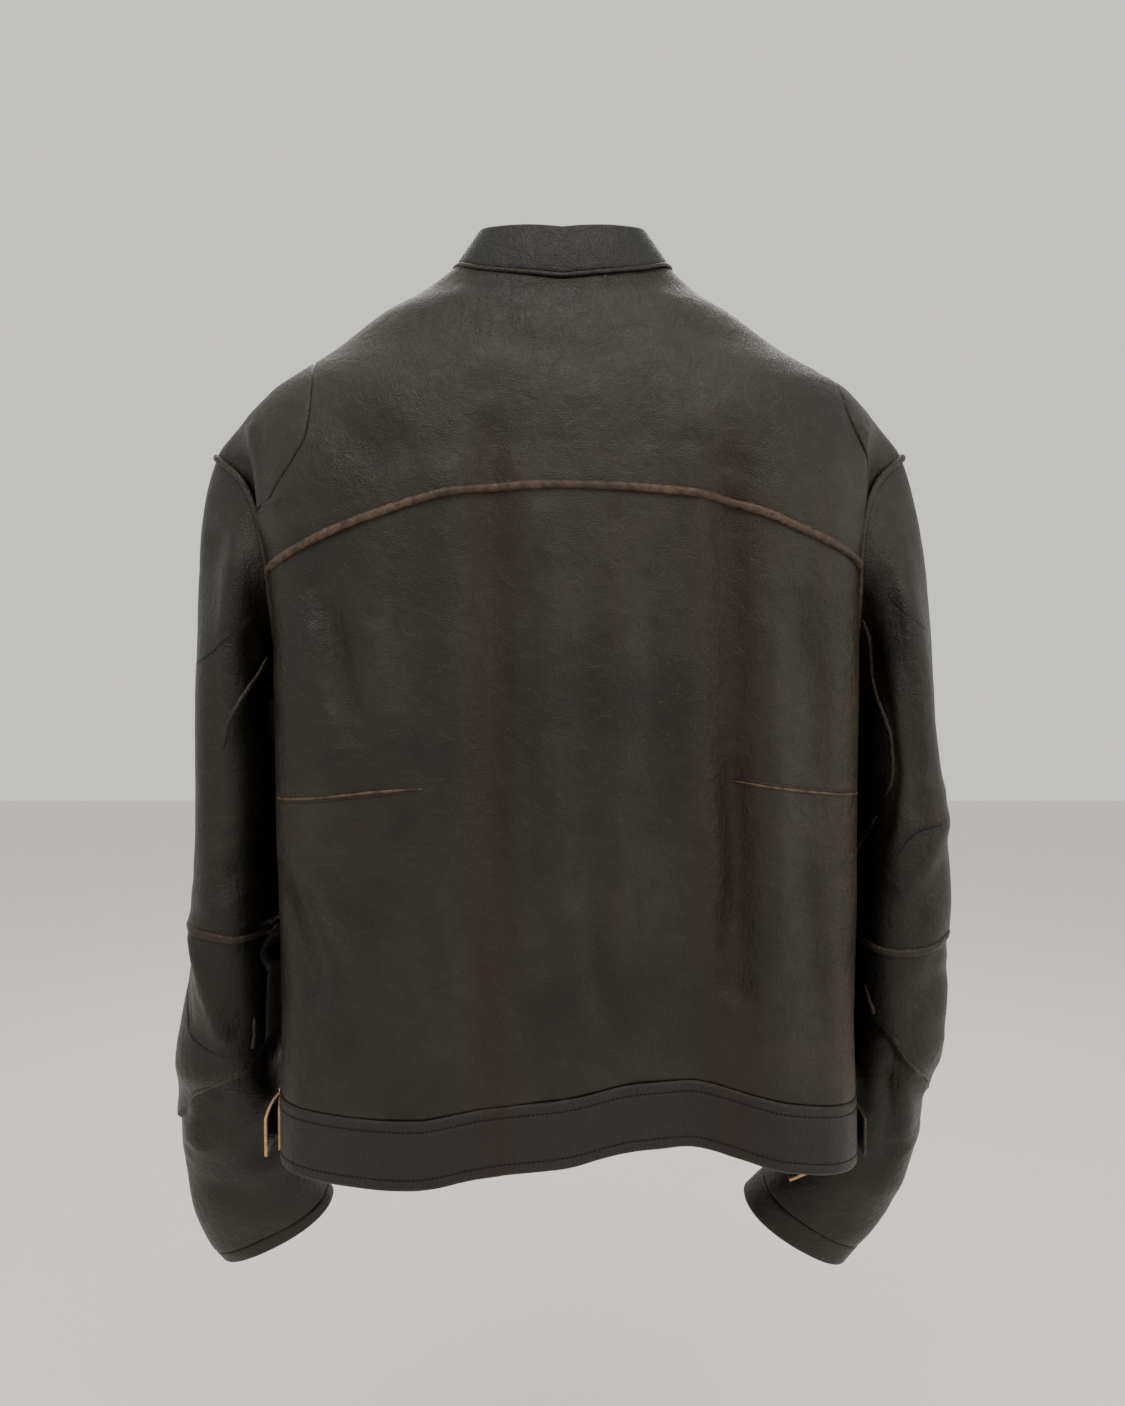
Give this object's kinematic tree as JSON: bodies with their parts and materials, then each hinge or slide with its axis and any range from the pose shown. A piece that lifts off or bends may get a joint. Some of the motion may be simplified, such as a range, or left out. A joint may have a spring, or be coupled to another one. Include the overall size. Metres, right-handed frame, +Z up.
{
  "type": "leather riding jacket",
  "caption": "Short leather riding jacket with a stand collar, zipped front, yoked back and jointed sleeves, hanging by its loop.",
  "frame": {"origin": "lower edge of the hang loop, in the middle of the back neck", "axes": "+Z up as it hangs, the wearer's front faces -Y, the wearer's left arm is at +X"},
  "size_m": [0.6558, 0.2068, 0.8731],
  "materials": {
    "leather": "dark brown-black leather, soft sheen, reddish brown where the colour has rubbed off",
    "trim_leather": "charcoal black leather, slightly finer grain",
    "piping": "brown leather piping, worn lighter along its crest",
    "worn_edge": "raw tan edge of leather",
    "lining": "black twill lining",
    "zip_tape": "black woven tape",
    "metal": "dark nickel"
  },
  "bodies": {
    "jacket": {"back_yoke": "leather", "back_panel": "leather", "yoke_piping": "piping", "waist_welts": "worn_edge", "side_panel_left": "leather", "side_panel_right": "leather", "front_panel_left": "leather", "front_panel_right": "leather", "shoulder_panel_left": "leather", "shoulder_panel_right": "leather", "waistband_back": "trim_leather", "waistband_front_left": "trim_leather", "waistband_front_right": "trim_leather", "collar_shell": "trim_leather", "collar_facing": "leather", "collar_seam_piping": "piping", "hang_loop": "trim_leather", "lining_back": "lining", "lining_front_left": "lining", "lining_front_right": "lining", "main_zip_tape_left": "zip_tape", "main_zip_tape_right": "zip_tape", "main_zip_teeth_left": "metal", "main_zip_teeth_right": "metal", "pocket_zip_left": "metal", "pocket_zip_right": "metal", "pocket_bags": "lining", "collar_snap_stud": "metal", "side_strap_left": "trim_leather", "side_strap_right": "trim_leather", "strap_loops": "metal", "sleeve_head_left": "leather", "sleeve_head_right": "leather"},
    "sleeve_left": {"upper_sleeve_left": "leather", "elbow_panel_left": "leather"},
    "lower_sleeve_left": {"forearm_left": "leather", "cuff_left": "trim_leather", "sleeve_lining_left": "lining", "cuff_zip_left": "metal"},
    "cuff_runner_left": {"cuff_slider_left": "metal"},
    "cuff_puller_left": {"cuff_pull_left": "metal"},
    "pocket_runner_left": {"pocket_slider_left": "metal"},
    "pocket_puller_left": {"pocket_pull_left": "metal"},
    "strap_end_left": {"strap_tail_left": "worn_edge"},
    "sleeve_right": {"upper_sleeve_right": "leather", "elbow_panel_right": "leather"},
    "lower_sleeve_right": {"forearm_right": "leather", "cuff_right": "trim_leather", "sleeve_lining_right": "lining", "cuff_zip_right": "metal"},
    "cuff_runner_right": {"cuff_slider_right": "metal"},
    "cuff_puller_right": {"cuff_pull_right": "metal"},
    "pocket_runner_right": {"pocket_slider_right": "metal"},
    "pocket_puller_right": {"pocket_pull_right": "metal"},
    "strap_end_right": {"strap_tail_right": "worn_edge"},
    "front_runner": {"main_zip_slider": "metal"},
    "front_puller": {"main_zip_pull": "metal"},
    "collar_flap": {"collar_tab": "trim_leather", "collar_snap_cap": "metal"}
  },
  "joints": [
    {"name": "main_zip_slide", "type": "slide", "parent": "jacket", "child": "front_runner", "axis": [0, -0.0351, -0.9994], "range_m": [0, 0.578]},
    {"name": "main_pull_swing", "type": "hinge", "parent": "front_runner", "child": "front_puller", "pos_m": [0, -0.13404, -0.0738], "axis": [-1, 0, 0], "range_deg": [0, 115]},
    {"name": "collar_tab_open", "type": "hinge", "parent": "jacket", "child": "collar_flap", "pos_m": [0.022, -0.1258, -0.026], "axis": [0, 0, 1], "range_deg": [0, 110]},
    {"name": "shoulder_swing_left", "type": "hinge", "parent": "jacket", "child": "sleeve_left", "pos_m": [0.262, -0.066, -0.15], "axis": [-1, 0, 0], "range_deg": [-20, 50], "deforming": ["sleeve_head_left", "elbow_panel_left"]},
    {"name": "elbow_bend_left", "type": "hinge", "parent": "sleeve_left", "child": "lower_sleeve_left", "pos_m": [0.276, -0.048, -0.5], "axis": [-1, 0, 0], "range_deg": [0, 70], "deforming": ["elbow_panel_left"]},
    {"name": "pocket_zip_slide_left", "type": "slide", "parent": "jacket", "child": "pocket_runner_left", "axis": [0.0023, -0.0344, -0.9994], "range_m": [0, 0.118]},
    {"name": "pocket_pull_swing_left", "type": "hinge", "parent": "pocket_runner_left", "child": "pocket_puller_left", "pos_m": [0.11871, -0.14684, -0.43377], "axis": [-0.9978, -0.0663, 0], "range_deg": [0, 115]},
    {"name": "cuff_zip_slide_left", "type": "slide", "parent": "lower_sleeve_left", "child": "cuff_runner_left", "axis": [0.3681, 0.0948, 0.9249], "range_m": [0, 0.062]},
    {"name": "cuff_pull_swing_left", "type": "hinge", "parent": "cuff_runner_left", "child": "cuff_puller_left", "pos_m": [0.25667, -0.14463, -0.767], "axis": [-0.9291, 0, 0.3698], "range_deg": [0, 115]},
    {"name": "strap_tail_swing_left", "type": "hinge", "parent": "jacket", "child": "strap_end_left", "pos_m": [0.2286, -0.024, -0.6495], "axis": [0, 0, -1], "range_deg": [-4, 38]},
    {"name": "shoulder_swing_right", "type": "hinge", "parent": "jacket", "child": "sleeve_right", "pos_m": [-0.262, -0.066, -0.15], "axis": [-1, 0, 0], "range_deg": [-20, 50], "deforming": ["sleeve_head_right", "elbow_panel_right"]},
    {"name": "elbow_bend_right", "type": "hinge", "parent": "sleeve_right", "child": "lower_sleeve_right", "pos_m": [-0.281, -0.048, -0.5], "axis": [-1, 0, 0], "range_deg": [0, 70], "deforming": ["elbow_panel_right"]},
    {"name": "pocket_zip_slide_right", "type": "slide", "parent": "jacket", "child": "pocket_runner_right", "axis": [-0.0023, -0.0344, -0.9994], "range_m": [0, 0.118]},
    {"name": "pocket_pull_swing_right", "type": "hinge", "parent": "pocket_runner_right", "child": "pocket_puller_right", "pos_m": [-0.11871, -0.14684, -0.43377], "axis": [-0.9978, 0.0663, 0], "range_deg": [0, 115]},
    {"name": "cuff_zip_slide_right", "type": "slide", "parent": "lower_sleeve_right", "child": "cuff_runner_right", "axis": [-0.6256, 0.1339, 0.7685], "range_m": [0, 0.062]},
    {"name": "cuff_pull_swing_right", "type": "hinge", "parent": "cuff_runner_right", "child": "cuff_puller_right", "pos_m": [-0.21451, -0.15003, -0.76976], "axis": [-0.7755, 0, -0.6313], "range_deg": [0, 115]},
    {"name": "strap_tail_swing_right", "type": "hinge", "parent": "jacket", "child": "strap_end_right", "pos_m": [-0.2286, -0.024, -0.6495], "axis": [0, 0, 1], "range_deg": [-4, 38]}
  ]
}
